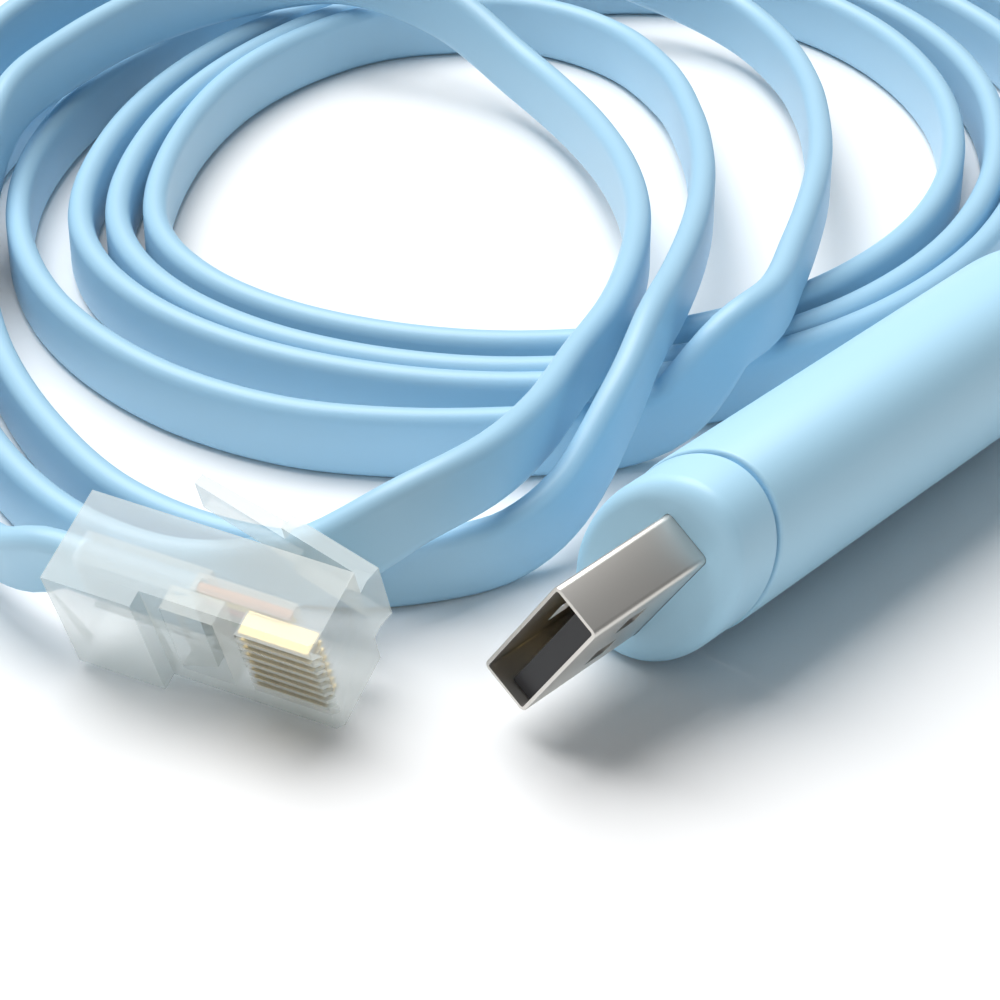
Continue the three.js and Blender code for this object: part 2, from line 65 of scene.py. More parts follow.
@dataclass(frozen=True)
class Plan:
    """The plan that the route is drawn in: seen from the front, x to the right and y away, in millimetres."""

    usb_middle: tuple[float, float] = (26.1, -7.1)
    usb_heading: float = 228.6  # degrees, the way the USB shell points

    def place(self, x: float, y: float, z: float = 0.0) -> Vector:
        """Turns a plan point into the part's frame.

        Args:
            x: Millimetres to the right.
            y: Millimetres away.
            z: Millimetres above the floor.

        Returns:
            The point in metres.
        """
        turn = Matrix.Rotation(math.radians(-self.usb_heading), 3, "Z")
        return turn @ Vector((x - self.usb_middle[0], y - self.usb_middle[1], z)) * MM


PLAN = Plan()


@dataclass(frozen=True)
class UsbSizes:
    """The USB connector in millimetres: 0 is the housing's front face, and + is towards the mouth."""

    front_at: float = 23.0  # the front face's place along the part's X axis
    radius: float = 6.5  # half the housing's thickness
    oval: float = 1.57  # how many times wider than thick it is
    cap_step: float = 0.15
    cap_length: float = 5.0
    cap_fillet: float = 1.3
    seam_chamfer: float = 0.12  # on the cap's rear edge
    lip: float = 0.25  # rounding of the grip's front edge
    seam: float = 0.3
    body_length: float = 40.0
    shoulder: float = 4.0
    relief_radius: float = 5.0
    relief_end_radius: float = 4.2
    relief_length: float = 9.0
    relief_fillet: float = 0.5
    shell_width: float = 12.0
    shell_height: float = 4.5
    shell_wall: float = 0.3
    shell_corner: float = 0.5  # rounding of its long edges
    mouth_rounding: float = 0.07
    shell_shown: float = 12.3
    shell_seated: float = 3.5
    roll: float = 56.0  # degrees, the wide side's slope to the floor
    hole: float = 2.2
    hole_spread: float = 4.9
    hole_from_tip: float = 6.2
    hole_corner: float = 0.2
    joint_gap: float = 0.06  # where the shell's sheet meets
    joint_depth: float = 0.4

    @property
    def cap_radius(self) -> float:
        """Half the cap's thickness."""
        return self.radius - self.cap_step

    @property
    def height(self) -> float:
        """How high the oval housing's middle is when it lies rolled on the floor."""
        angle = math.radians(self.roll)
        return math.hypot(self.oval * self.radius * math.sin(angle), self.radius * math.cos(angle))

    @property
    def body_front(self) -> float:
        """Where the long grip starts."""
        return -self.cap_length - self.seam

    @property
    def body_back(self) -> float:
        """Where the grip's shoulder starts."""
        return self.body_front - self.body_length

    @property
    def relief_back(self) -> float:
        """Where the cable leaves the strain relief."""
        return self.body_back - self.shoulder - self.relief_length

    @property
    def axis(self) -> Matrix:
        """The connector's place: its own frame to the part's."""
        return Matrix.Translation(Vector((self.front_at, 0.0, self.height)) * MM)

    @property
    def rolled(self) -> Matrix:
        """The connector's place, turned about its length."""
        return self.axis @ Matrix.Rotation(math.radians(self.roll), 4, "X")


@dataclass(frozen=True)
class PlugSizes:
    """The RJ45 plug in millimetres: X from rear to nose, Z towards the latch."""

    rear: tuple[float, float] = (-30.3, -21.3)  # in the plan
    rear_height: float = 7.785  # its middle above the floor
    heading: float = -25.0
    roll: float = -66.0
    pitch: float = -3.0
    width: float = 11.68
    length: float = 21.46
    rear_length: float = 7.4
    rear_tall: float = 8.0
    front_tall: float = 6.6
    chamfer: float = 0.5
    jacket_room: float = 10.5
    jacket_short: float = 0.6  # the jacket stops this far before the end of its room
    jacket_fit: float = 0.15
    wire_room_tall: float = 1.5
    wire_room_front: float = 3.4
    wire_pitch: float = 1.02
    wire_radius: float = 0.385
    wire_seat: float = 0.42  # the radius of a wire's solid in the CAD
    wire_facets: int = 16
    wire_step: float = 0.25
    wire_back: float = 0.9  # how far the wires start before the end of the jacket's room
    wire_fan: float = 3.1  # length over which they spread out
    wire_room_overlap: float = 0.5
    core_pitch: float = 0.78  # inside the flat cable
    blade_thick: float = 0.34
    blade_tall: float = 1.9
    blade_length: float = 5.6
    blade_from_nose: float = 1.1
    blade_sunk: float = 0.35
    slot_above: float = 0.2  # the slot's height over the blade's sunken edge
    fit: float = 0.12  # round the blades and the wires
    clearance: float = 0.3  # between a blade and its wire, and past a wire's end
    window_length: float = 4.4
    window_width: float = 8.4
    window_from_rear: float = 8.6
    window_overlap: float = 0.1
    clamp_length: float = 2.6
    clamp_thick: float = 1.3
    clamp_side_gap: float = 0.3
    clamp_root: float = 0.2  # how far it runs into the window's rear wall
    clamp_short: float = 0.05  # between it and the jacket
    edge_rounding: float = 0.16
    latch_root: float = 6.2
    latch_tab: float = 3.3
    latch_thick: float = 1.3
    latch_shoulder: float = 8.2
    latch_length: float = 17.2
    latch_gap: float = 1.1
    latch_rise: float = 14.0
    latch_overlap: float = 0.5  # of its parts
    latch_tip_thinned: float = 0.35

    @property
    def floor(self) -> float:
        """The contact face's height."""
        return -self.front_tall / 2

    @property
    def top(self) -> float:
        """The latch side's height."""
        return self.front_tall / 2

    @property
    def wire_height(self) -> float:
        """The wires' middle, above the blades."""
        return self.floor + self.blade_sunk + self.blade_tall + self.clearance + self.wire_seat

    def basis(self) -> Matrix:
        """The plug's place in the part's frame.

        Returns:
            A matrix from the plug's own axes to the part's frame, in metres.
        """
        heading, pitch, roll = (
            math.radians(a) for a in (self.heading - PLAN.usb_heading, self.pitch, self.roll)
        )
        along = Vector((
            math.cos(pitch) * math.cos(heading), math.cos(pitch) * math.sin(heading), math.sin(pitch),
        ))
        left = Vector((-math.sin(heading), math.cos(heading), 0.0))
        up = along.cross(left)
        across = left * math.cos(roll) + up * math.sin(roll)
        turned = Matrix((along, across, along.cross(across))).transposed().to_4x4()
        return Matrix.Translation(PLAN.place(*self.rear, self.rear_height)) @ turned


USB = UsbSizes()
PLUG = PlugSizes()


# The cable's route


@dataclass(frozen=True)
class CableSizes:
    """The flat cable's section in millimetres, and how finely its tube is made."""

    width: float = 6.4
    thickness: float = 2.3
    seat: float = 6.0  # length inside the USB connector
    edge_facets: int = 8
    step: float = 1.2


CABLE = CableSizes()

# Each row is x, y, how far the cable's lower edge is lifted, and its lean to the right in degrees.
LOOP_FROM_USB: tuple[Row, ...] = (
    (57.8, 32.6, 3.4, 28), (60.2, 42.5, 1, 15), (61, 52, 0, 4), (60.2, 64, 0, 0), (57.4, 78, 0, 0),
    (51.4, 90.8, 0, 0), (41, 100.6, 0, 0), (27.5, 106.4, 0, 0), (12, 107.8, 0, 0), (-3, 105.4, 0, 0),
    (-16, 100.3, 0, 0), (-27.6, 92.6, 0, 0), (-37.6, 82.3, 0, 0), (-45, 69.5, 0, 0), (-49.2, 56, 0, 0),
    (-50.2, 42, 0, 0), (-48.6, 26, 0, 0), (-45, 10.5, 0, 0), (-39.5, -1.8, 0, 0), (-32, -11.2, 0, 0),
    (-23, -16.6, 0.6, 0), (-14, -18.2, 3, 0), (-6.5, -17, 7, 0), (-1, -12.4, 7.6, 0), (2.8, -5.6, 7.2, 0),
    (6, 3, 6.9, 0), (9.2, 11, 6.9, 0), (11.2, 20, 6.5, 0), (12.1, 30, 5.4, 0), (11.6, 41, 3.9, 0),
    (9.7, 52, 2.5, 0), (6.5, 62, 1.7, 0), (1.8, 70.5, 2.2, 0), (-6, 78.5, 5.4, 0), (-16, 83.4, 7, 0),
    (-26, 80.8, 6.9, 0), (-35, 73.5, 6.9, 0), (-42, 63, 6.9, 0), (-46.2, 52, 6.9, 0), (-47.3, 41, 4, 0),
    (-46, 29, 1, 0), (-42.2, 15, 0, 0), (-36.5, 3, 0, 0), (-29.2, -7, 0, 0), (-20.5, -12.9, 0, 0),
    (-11, -15, 0, 0), (-3.4, -13.6, 0, 0), (1, -11.4, 0.2, 0), (5.2, -8.2, 2.2, 0), (9.5, -2, 7.2, 0),
    (12, 5, 9.2, 0), (14.2, 13, 8.4, 0), (16.2, 22, 7.3, 0), (17.7, 32, 5.7, 0), (18.6, 44, 3.7, 0),
    (18.4, 57, 1.8, 0), (16.5, 70, 0.5, 0), (11.5, 80.6, 0, 0), (3, 86.6, 0, 0), (-6, 86.6, 0, 0),
    (-13, 84.6, 0, 0), (-20, 79, 0, 0), (-26, 70.5, 0, 0), (-30.3, 58, 0, 0),
)
LOOP_TO_PLUG: tuple[Row, ...] = (
    (52.6, 75, 0, 0), (48.3, 85.6, 0, 0), (41.3, 94, 0, 0), (31.2, 100, 0, 0), (20, 102.9, 0, 0),
    (8, 103.2, 0, 0), (-5, 100.4, 0, 0), (-17, 95, 0, 0), (-27.2, 87.2, 0, 0), (-35.6, 76.8, 0, 0),
    (-41.6, 64, 0, 0), (-44.4, 50, 0, 0), (-43.8, 38, 0, 0), (-40.4, 27, 0, 0), (-35, 18.2, 0, 0),
    (-27, 10.4, 0, 0), (-17.5, 5.4, 0, 0), (-8, 3.7, 0, 0), (2, 3.9, 0, 0), (9, 4.8, 0, 0), (14, 5.9, 1.6, 0),
    (18.8, 8.4, 6.8, 0), (22.4, 13, 7.2, 0), (25, 21.5, 6.9, 0), (27.3, 31, 6.3, 0), (29.1, 41.5, 5, 0),
    (30, 52, 3.6, 0), (30.1, 63, 2.3, 0), (28.6, 74, 1.5, 0), (24.4, 83.6, 1.7, 0), (16, 90, 3.6, 0),
    (5, 92.2, 6.8, 0), (-7, 92.6, 7.1, 0), (-19, 91.4, 6.9, 0), (-30.4, 87.4, 6.9, 0),
    (-40.8, 79.6, 6.9, 0), (-48.6, 68.4, 6.9, 0), (-53, 54.6, 4.4, 0), (-54, 40, 1, 0), (-52.6, 24, 0, 0),
    (-49.6, 9, 0, 0), (-45.4, -3.4, 0.8, 6), (-40.6, -12.6, 2, 14), (-36.2, -18, 3.2, 22),
)

# The three neat turns, inner to outer, by their extreme points in the plan
TURN_LEFT = ((-31.8, 43.0), (-35.2, 43.0), (-38.6, 43.0))
TURN_FRONT = ((2.0, 16.3), (2.0, 11.9), (2.0, 9.4))
TURN_RIGHT = ((43.7, 60.0), (48.0, 62.0), (51.5, 64.0))
TURN_FAR = ((15.0, 97.0), (15.0, 99.7))
ARC_POINTS = 5  # in each quarter of a turn


def quarter_turn(start: Sequence[float], end: Sequence[float], x_first: bool) -> list[Row]:
    """Works out a quarter of an ellipse between two extreme points.

    Args:
        start: Where it starts, which is kept.
        end: Where it ends, which is left for the next quarter.
        x_first: Whether it sets out along x.

    Returns:
        Rows on the floor.
    """
    rows: list[Row] = []
    for i in range(ARC_POINTS):
        angle = math.pi / 2 * i / ARC_POINTS
        ahead, back = math.sin(angle), 1 - math.cos(angle)
        share_x, share_y = (ahead, back) if x_first else (back, ahead)
        rows.append((
            start[0] + (end[0] - start[0]) * share_x, start[1] + (end[1] - start[1]) * share_y, 0.0, 0.0,
        ))
    return rows


def neat_turns() -> list[Row]:
    """Winds the three neat turns of the coil.

    Returns:
        Their rows, from the innermost left point to the outermost right one.
    """
    rows: list[Row] = []
    for turn in range(len(TURN_LEFT)):
        rows += quarter_turn(TURN_LEFT[turn], TURN_FRONT[turn], x_first=False)
        rows += quarter_turn(TURN_FRONT[turn], TURN_RIGHT[turn], x_first=True)
        if turn < len(TURN_FAR):
            rows += quarter_turn(TURN_RIGHT[turn], TURN_FAR[turn], x_first=False)
            rows += quarter_turn(TURN_FAR[turn], TURN_LEFT[turn + 1], x_first=True)
    return [*rows, (*TURN_RIGHT[-1], 0.0, 0.0)]


@dataclass(frozen=True)
class Station:
    """One place along a swept piece: its point, and the directions of its section's thickness and width."""

    point: Vector
    side: Vector
    up: Vector


class SmoothLine:
    """A centripetal spline through points, with a lean at each."""

    def __init__(self, points: Sequence[Vector], leans: Sequence[float], lowest: float | None = None) -> None:
        """Keeps the points.

        Args:
            points: The line's own points in metres.
            leans: The lean at each, in degrees.
            lowest: The least height of the line, or None.
        """
        first, last = 2 * points[0] - points[1], 2 * points[-1] - points[-2]
        self.points = [first, *points, last]
        self.leans = list(leans)
        self.lowest = lowest

    def at(self, segment: int, share: float) -> Vector:
        """Finds a point on the line.

        Args:
            segment: The number of the stretch between two points.
            share: How far along that stretch, from 0 to 1.

        Returns:
            The point in metres.
        """
        p0, p1, p2, p3 = self.points[segment:segment + 4]
        d0, d1, d2 = (math.sqrt((b - a).length) for a, b in ((p0, p1), (p1, p2), (p2, p3)))
        t1 = ((p1 - p0) / d0 - (p2 - p0) / (d0 + d1) + (p2 - p1) / d1) * d1
        t2 = ((p2 - p1) / d1 - (p3 - p1) / (d1 + d2) + (p3 - p2) / d2) * d1
        s2, s3 = share * share, share * share * share
        point = p1 + t1 * share + (3 * (p2 - p1) - 2 * t1 - t2) * s2 + (2 * (p1 - p2) + t1 + t2) * s3
        if self.lowest is not None:
            point.z = max(point.z, self.lowest)
        return point

    def stations(self, step: float) -> list[Station]:
        """Spaces stations along the line, about a step apart.

        Args:
            step: The distance in metres.

        Returns:
            The stations, with the section kept on its edge apart from the lean.
        """
        found: list[tuple[Vector, float]] = []
        count = len(self.points) - 3
        for segment in range(count):
            span = (self.points[segment + 2] - self.points[segment + 1]).length
            parts = max(1, round(span / step))
            for i in range(parts):
                lean = self.leans[segment] + (self.leans[segment + 1] - self.leans[segment]) * i / parts
                found.append((self.at(segment, i / parts), lean))
        found.append((self.at(count - 1, 1.0), self.leans[-1]))
        line: list[Station] = []
        for i, (point, lean) in enumerate(found):
            ahead = (found[min(i + 1, len(found) - 1)][0] - found[max(i - 1, 0)][0]).normalized()
            left = Vector((-ahead.y, ahead.x, 0.0)).normalized()
            up = ahead.cross(left)
            tilt = math.radians(lean)
            side = left * math.cos(tilt) + up * math.sin(tilt)
            line.append(Station(point, side, up * math.cos(tilt) - left * math.sin(tilt)))
        return line


# Finishes


class Tree:
    """A short way to write shader nodes."""

    def __init__(self, tree: bpy.types.NodeTree) -> None:
        """Keeps the tree.

        Args:
            tree: The tree that nodes are added to.
        """
        self.tree = tree

    def add(self, kind: str, settings: dict | None = None, **inputs: object) -> bpy.types.Node:
        """Adds a node.

        Args:
            kind: The node's type.
            settings: Its own properties.
            **inputs: Socket names, with _ for a space, and their values or the sockets that feed them.

        Returns:
            The node.
        """
        node = self.tree.nodes.new(kind)
        for name, value in (settings or {}).items():
            setattr(node, name, value)
        for name, value in inputs.items():
            self.feed(node.inputs[name.replace("_", " ")], value)
        return node

    def feed(self, socket: bpy.types.NodeSocket, value: object) -> None:
        """Links a socket to what feeds it, or sets its value.

        Args:
            socket: The input socket.
            value: Its value, or the output socket that feeds it.
        """
        if isinstance(value, bpy.types.NodeSocket):
            self.tree.links.new(value, socket)
        else:
            socket.default_value = value


class Effect(Enum):
    """The effects that several finishes share."""

    GRAIN = "fine_grain"
    DRIFT = "colour_drift"
    SCUFF = "scuff_marks"


def _group(effect: Effect, inputs: dict[str, str], outputs: dict[str, str]) -> tuple[Tree, dict, dict]:
    """Starts a node group with its sockets.

    Args:
        effect: The group's effect, which names it.
        inputs: Socket names and their types.
        outputs: The same for what it puts out.

    Returns:
        The tree, its input sockets by name and its output sockets by name.
    """
    tree = bpy.data.node_groups.new(effect.value, "ShaderNodeTree")
    for name, kind in inputs.items():
        tree.interface.new_socket(name=name, in_out="INPUT", socket_type=f"NodeSocket{kind}")
    for name, kind in outputs.items():
        tree.interface.new_socket(name=name, in_out="OUTPUT", socket_type=f"NodeSocket{kind}")
    build = Tree(tree)
    entry, leave = build.add("NodeGroupInput"), build.add("NodeGroupOutput")
    given = {name: entry.outputs[name] for name in inputs}
    return build, given, {name: leave.inputs[name] for name in outputs}


def make_grain() -> bpy.types.NodeTree:
    """Builds the moulded plastic's fine, two-sized unevenness as a height."""
    fine_times, fine_share = 4.0, 0.4
    build, given, out = _group(Effect.GRAIN, {"Vector": "Vector", "Scale": "Float"}, {"Height": "Float"})
    coarse = build.add("ShaderNodeTexNoise", Vector=given["Vector"], Scale=given["Scale"], Detail=3.0)
    closer = build.add("ShaderNodeMath", {"operation": "MULTIPLY"})
    build.feed(closer.inputs[0], given["Scale"])
    build.feed(closer.inputs[1], fine_times)
    fine = build.add("ShaderNodeTexNoise", Vector=given["Vector"], Scale=closer.outputs[0], Detail=1.0)
    both = build.add("ShaderNodeMath", {"operation": "MULTIPLY_ADD"})
    build.feed(both.inputs[0], fine.outputs["Fac"])
    build.feed(both.inputs[1], fine_share)
    build.feed(both.inputs[2], coarse.outputs["Fac"])
    build.feed(out["Height"], both.outputs[0])
    return build.tree


def make_drift() -> bpy.types.NodeTree:
    """Builds a slow change from one tone of a colour to another."""
    build, given, out = _group(
        Effect.DRIFT,
        {"Vector": "Vector", "Scale": "Float", "Tone": "Color", "Other Tone": "Color"},
        {"Color": "Color"},
    )
    cloud = build.add("ShaderNodeTexNoise", Vector=given["Vector"], Scale=given["Scale"], Detail=2.0)
    share = build.add("ShaderNodeMapRange", Value=cloud.outputs["Fac"])
    share.inputs["From Min"].default_value, share.inputs["From Max"].default_value = 0.3, 0.7
    mixed = build.add("ShaderNodeMix", {"data_type": "RGBA"})
    build.feed(mixed.inputs["Factor"], share.outputs["Result"])
    build.feed(mixed.inputs[6], given["Tone"])
    build.feed(mixed.inputs[7], given["Other Tone"])
    build.feed(out["Color"], mixed.outputs[2])
    return build.tree


def make_scuff() -> bpy.types.NodeTree:
    """Builds sparse, thin handling marks as a mask."""
    faint, full = 0.75, 0.82  # of the noise, where a mark starts and where it is whole
    build, given, out = _group(
        Effect.SCUFF, {"Vector": "Vector", "Scale": "Float", "Cover": "Float"}, {"Mask": "Float"},
    )
    streak = build.add("ShaderNodeMapping", Vector=given["Vector"], Scale=(1.0, 0.22, 0.6))
    lines = build.add("ShaderNodeTexNoise", Vector=streak.outputs[0], Scale=given["Scale"], Detail=4.0)
    start = build.add("ShaderNodeMath", {"operation": "SUBTRACT"})
    build.feed(start.inputs[0], faint)
    build.feed(start.inputs[1], given["Cover"])
    mask = build.add("ShaderNodeMapRange", Value=lines.outputs["Fac"])
    build.feed(mask.inputs["From Min"], start.outputs[0])
    mask.inputs["From Max"].default_value = full
    build.feed(out["Mask"], mask.outputs["Result"])
    return build.tree


MAKERS: dict[Effect, Callable[[], bpy.types.NodeTree]] = {
    Effect.GRAIN: make_grain, Effect.DRIFT: make_drift, Effect.SCUFF: make_scuff,
}


class Coordinates(Enum):
    """What a finish's pattern follows."""

    OBJECT = "Object"
    UV = "UV"


@dataclass(frozen=True)
class Finish:
    """One finish: a base tone that drifts to another, a grain, scuffs and a gloss."""

    name: str
    tone: Colour
    other_tone: Colour
    roughness: float
    rougher: float = 0.08
    metallic: float = 0.0
    coordinates: Coordinates = Coordinates.OBJECT
    stretch: tuple[float, float, float] = (1.0, 1.0, 1.0)
    drift_scale: float = 60.0
    grain_scale: float = 900.0
    grain_height: float = 0.02  # millimetres
    scuff_scale: float = 400.0
    scuff_cover: float = 0.02
    scuff_darkens: float = 0.25
    transmission: float = 0.0
    opacity: float = 1.0
    refraction: float = 1.5
    subsurface: float = 0.0

    def material(self) -> bpy.types.Material:
        """Builds the finish's material once.

        Returns:
            The material, kept under the finish's name.
        """
        if self.name in bpy.data.materials:
            return bpy.data.materials[self.name]
        made = bpy.data.materials.new(self.name)
        made.use_nodes = True
        made.diffuse_color = (*self.tone, 1.0)
        build = Tree(made.node_tree)
        shader = made.node_tree.nodes["Principled BSDF"]
        self._plain(shader)
        place = build.add("ShaderNodeTexCoord").outputs[self.coordinates.value]
        place = build.add("ShaderNodeMapping", Vector=place, Scale=self.stretch).outputs[0]
        grain = self._effect(build, Effect.GRAIN, Vector=place, Scale=self.grain_scale).outputs["Height"]
        scuff = self._effect(
            build, Effect.SCUFF, Vector=place, Scale=self.scuff_scale, Cover=self.scuff_cover,
        ).outputs["Mask"]
        tone = self._effect(
            build, Effect.DRIFT, Vector=place, Scale=self.drift_scale,
            Tone=(*self.tone, 1.0), Other_Tone=(*self.other_tone, 1.0),
        ).outputs["Color"]
        marked = build.add("ShaderNodeMix", {"data_type": "RGBA", "blend_type": "MULTIPLY"})
        build.feed(marked.inputs["Factor"], scuff)
        build.feed(marked.inputs[6], tone)
        keep = 1.0 - self.scuff_darkens
        build.feed(marked.inputs[7], (keep, keep, keep, 1.0))
        build.feed(shader.inputs["Base Color"], marked.outputs[2])
        rough = build.add("ShaderNodeMapRange", Value=grain)
        rough.inputs["From Min"].default_value, rough.inputs["From Max"].default_value = 0.4, 1.0
        build.feed(rough.inputs["To Min"], max(0.0, self.roughness - self.rougher))
        build.feed(rough.inputs["To Max"], self.roughness + self.rougher)
        build.feed(shader.inputs["Roughness"], rough.outputs["Result"])
        bump = build.add("ShaderNodeBump", Height=grain, Strength=1.0, Distance=self.grain_height * MM)
        build.feed(shader.inputs["Normal"], bump.outputs[0])
        return made

    def _plain(self, shader: bpy.types.Node) -> None:
        """Sets the values that are the same all over."""
        for name, value in (
            ("Metallic", self.metallic), ("Transmission Weight", self.transmission), ("IOR", self.refraction),
            ("Subsurface Weight", self.subsurface), ("Alpha", self.opacity),
        ):
            shader.inputs[name].default_value = value
        shader.inputs["Subsurface Scale"].default_value = SUBSURFACE_DEPTH * MM

    @staticmethod
    def _effect(build: Tree, effect: Effect, **inputs: object) -> bpy.types.Node:
        """Places a shared effect in a material.

        Args:
            build: The material's nodes.
            effect: Which effect.
            **inputs: Its inputs.

        Returns:
            The group node.
        """
        tree = bpy.data.node_groups.get(effect.value) or MAKERS[effect]()
        return build.add("ShaderNodeGroup", {"node_tree": tree}, **inputs)


HOUSING_PVC = Finish(
    "housing_pvc", (0.395, 0.640, 0.810), (0.420, 0.665, 0.830), 0.46, grain_scale=1400.0, grain_height=0.012,
    drift_scale=45.0, subsurface=0.08, scuff_cover=0.0,
)
CABLE_PVC = Finish(
    "cable_pvc", (0.345, 0.560, 0.690), (0.375, 0.590, 0.715), 0.44, coordinates=Coordinates.UV,
    stretch=(0.05, 1.0, 1.0), drift_scale=300.0, grain_scale=1500.0, grain_height=0.012, scuff_cover=0.0,
    subsurface=0.06,
)
SHELL_METAL = Finish(
    "shell_metal", (0.74, 0.62, 0.47), (0.80, 0.69, 0.55), 0.15, rougher=0.05, metallic=1.0,
    stretch=(0.15, 1.0, 1.0), grain_scale=2600.0, grain_height=0.002, scuff_scale=900.0, scuff_cover=0.1,
)
INSULATOR = Finish("insulator", (0.012, 0.012, 0.015), (0.02, 0.02, 0.022), 0.42, scuff_cover=0.0)
GOLD = Finish(
    "contact_gold", (0.66, 0.38, 0.09), (0.58, 0.32, 0.07), 0.24, rougher=0.06, metallic=1.0,
    grain_scale=3000.0, grain_height=0.002, scuff_cover=0.04,
)
CLEAR = Finish(
    "clear_plug", (0.90, 0.94, 0.93), (0.94, 0.97, 0.96), 0.02, rougher=0.02, transmission=1.0, opacity=0.5,
    refraction=1.42, grain_scale=300.0, grain_height=0.0008, scuff_cover=0.0, scuff_darkens=0.1,
)


def wire_finish(slot: str, tone: Colour) -> Finish:
    """Gives a wire's finish from its colour.

    Args:
        slot: The record's material slot, which names it.
        tone: Its colour.

    Returns:
        The finish.
    """
    darker = tuple(0.85 * value for value in tone)
    return Finish(slot, tone, darker, 0.35, grain_scale=2500.0, grain_height=0.004, scuff_cover=0.02)


# From the wire that is uppermost as the plug lies
WIRES = (
    wire_finish("wire_orange", (0.78, 0.27, 0.10)), wire_finish("wire_yellow", (0.80, 0.60, 0.08)),
    wire_finish("wire_red", (0.60, 0.06, 0.04)), wire_finish("wire_black", (0.02, 0.02, 0.02)),
    wire_finish("wire_green", (0.05, 0.28, 0.09)), wire_finish("wire_blue", (0.06, 0.10, 0.40)),
    wire_finish("wire_brown", (0.20, 0.08, 0.03)), wire_finish("wire_white", (0.78, 0.78, 0.78)),
)


# Mesh steps


def as_piece(name: str, bm: bmesh.types.BMesh, place: Matrix | None = None) -> bpy.types.Object:
    """Turns a bmesh into an object at the origin, with its place in its mesh.

    Args:
        name: The piece's name.
        bm: The shape, in metres, which is freed.
        place: The shape's own frame to the part's.

    Returns:
        The object, linked to the scene.
    """
    if place is not None:
        bm.transform(place)
    mesh = bpy.data.meshes.new(name)
    bm.to_mesh(mesh)
    bm.free()
    piece = bpy.data.objects.new(name, mesh)
    bpy.context.scene.collection.objects.link(piece)
    return piece


def block(low: Sequence[float], high: Sequence[float]) -> bmesh.types.BMesh:
    """Makes a box.

    Args:
        low: Its low corner in millimetres.
        high: Its high corner.

    Returns:
        The box.
    """
    bm = bmesh.new()
    bmesh.ops.create_cube(bm, size=1.0)
    size = [b - a for a, b in zip(low, high)]
    middle = [(a + b) / 2 for a, b in zip(low, high)]
    bmesh.ops.scale(bm, vec=[s * MM for s in size], verts=bm.verts)
    bmesh.ops.translate(bm, vec=[m * MM for m in middle], verts=bm.verts)
    return bm


def soften(
    bm: bmesh.types.BMesh, edges: Iterable[bmesh.types.BMEdge], width: float, segments: int,
) -> None:
    """Rounds edges.

    Args:
        bm: The shape.
        edges: The edges to round.
        width: The rounding in millimetres.
        segments: How many facets it takes.
    """
    bmesh.ops.bevel(
        bm, geom=list(edges), offset=width * MM, segments=segments, profile=0.5, affect="EDGES", material=-1,
    )


def turned(profile: Sequence[Point], wider: float, steps: int = 128) -> bmesh.types.BMesh:
    """Spins a profile about the X axis and widens it to an oval.

    Args:
        profile: Points along X and out from it, in millimetres, from one end to the other.
        wider: How many times wider than thick the oval is.
        steps: How many faces go round.

    Returns:
        The closed shape.
    """
    bm = bmesh.new()
    verts = [bm.verts.new((along * MM, 0.0, out * MM)) for along, out in profile]
    edges = [bm.edges.new(pair) for pair in zip(verts, verts[1:])]
    bmesh.ops.spin(
        bm, geom=[*verts, *edges], cent=(0, 0, 0), axis=(1, 0, 0), angle=math.tau, steps=steps,
        use_merge=True,
    )
    bmesh.ops.scale(bm, vec=(1.0, wider, 1.0), verts=bm.verts)
    bmesh.ops.remove_doubles(bm, verts=bm.verts, dist=MERGE)
    bmesh.ops.recalc_face_normals(bm, faces=bm.faces)
    return bm


def arc(centre: Point, radius: float, start: float, end: float, steps: int) -> list[Point]:
    """Gives the points of an arc.

    Args:
        centre: Its centre in millimetres.
        radius: Its radius.
        start: The angle that it starts at, in degrees.
        end: The angle that it ends at.
        steps: How many straight steps it takes.

    Returns:
        The points, both ends with them.
    """
    angles = [math.radians(start + (end - start) * i / steps) for i in range(steps + 1)]
    return [(centre[0] + radius * math.cos(a), centre[1] + radius * math.sin(a)) for a in angles]


def combine(piece: bpy.types.Object, tools: Iterable[bpy.types.Object], operation: str) -> None:
    """Cuts tools from a piece, or joins them to it, and removes them.

    Args:
        piece: The piece that is changed.
        tools: The shapes that change it.
        operation: DIFFERENCE or UNION.
    """
    for tool in tools:
        change = piece.modifiers.new("change", "BOOLEAN")
        change.operation, change.object, change.solver = operation, tool, "EXACT"
        bake(piece)
        bpy.data.objects.remove(tool)


def bake(piece: bpy.types.Object) -> None:
    """Applies a piece's modifiers to its mesh."""
    bpy.context.view_layer.update()
    done = bpy.data.meshes.new_from_object(piece.evaluated_get(bpy.context.evaluated_depsgraph_get()))
    piece.modifiers.clear()
    old, piece.data = piece.data, done
    done.name = piece.name
    bpy.data.meshes.remove(old)


def dress(piece: bpy.types.Object, finish: Finish, smooth_below: float = 35.0) -> bpy.types.Object:
    """Gives a piece its finish, smooth shading and its body.

    Args:
        piece: The piece.
        finish: What it is made of.
        smooth_below: Edges sharper than this angle stay sharp, in degrees.

    Returns:
        The same piece.
    """
    piece.data.materials.clear()
    piece.data.materials.append(finish.material())
    piece.data.shade_smooth()
    piece.data.set_sharp_from_angle(angle=math.radians(smooth_below))
    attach(piece, BODY)
    LOG.info("%s: %d faces, %s", piece.name, len(piece.data.polygons), finish.name)
    return piece


def round_edges(piece: bpy.types.Object, width: float, segments: int = 2, above: float = 40.0) -> None:
    """Rounds a piece's sharp edges.

    Args:
        piece: The piece.
        width: The rounding in millimetres.
        segments: How many facets it takes.
        above: The least angle of an edge that is rounded, in degrees.
    """
    edge = piece.modifiers.new("edges", "BEVEL")
    edge.width, edge.segments, edge.limit_method = width * MM, segments, "ANGLE"
    edge.angle_limit = math.radians(above)
    edge.use_clamp_overlap = True
    bake(piece)


